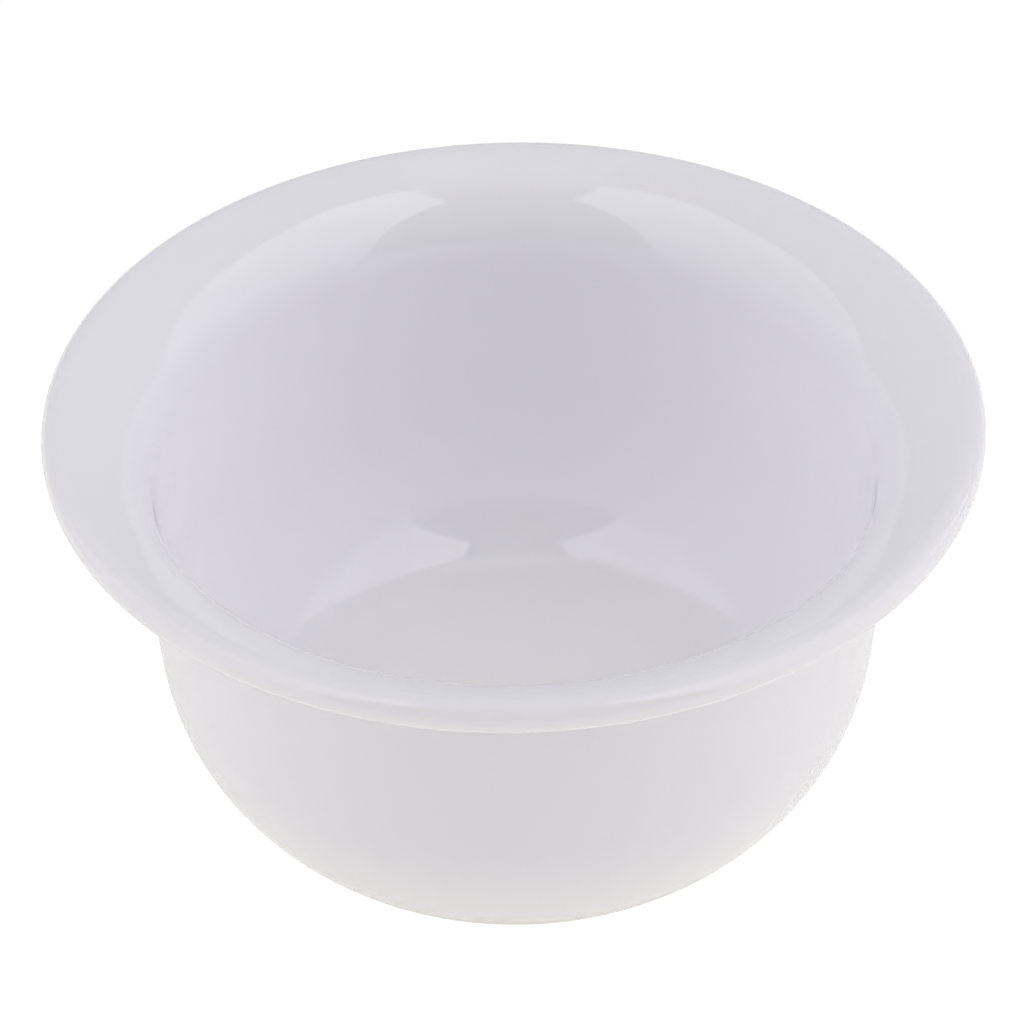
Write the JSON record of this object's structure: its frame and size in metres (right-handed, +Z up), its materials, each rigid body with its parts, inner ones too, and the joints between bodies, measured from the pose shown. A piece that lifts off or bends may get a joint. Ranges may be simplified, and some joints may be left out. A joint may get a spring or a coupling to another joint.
{
  "type": "shaving bowl",
  "caption": "Round shaving bowl with a funnelled rim, a rolled lip and a recessed base, for lathering shaving soap with a brush.",
  "frame": {"origin": "centre of the plane that the base ring rests on", "axes": "+Z up along the bowl's axis of revolution; +X and +Y are alike, because the bowl is round"},
  "size_m": [0.102, 0.102, 0.0515],
  "materials": {
    "white_gloss": "glossy moulded white, very slightly blue"
  },
  "bodies": {
    "root": {"bowl": "white_gloss"}
  },
  "joints": []
}
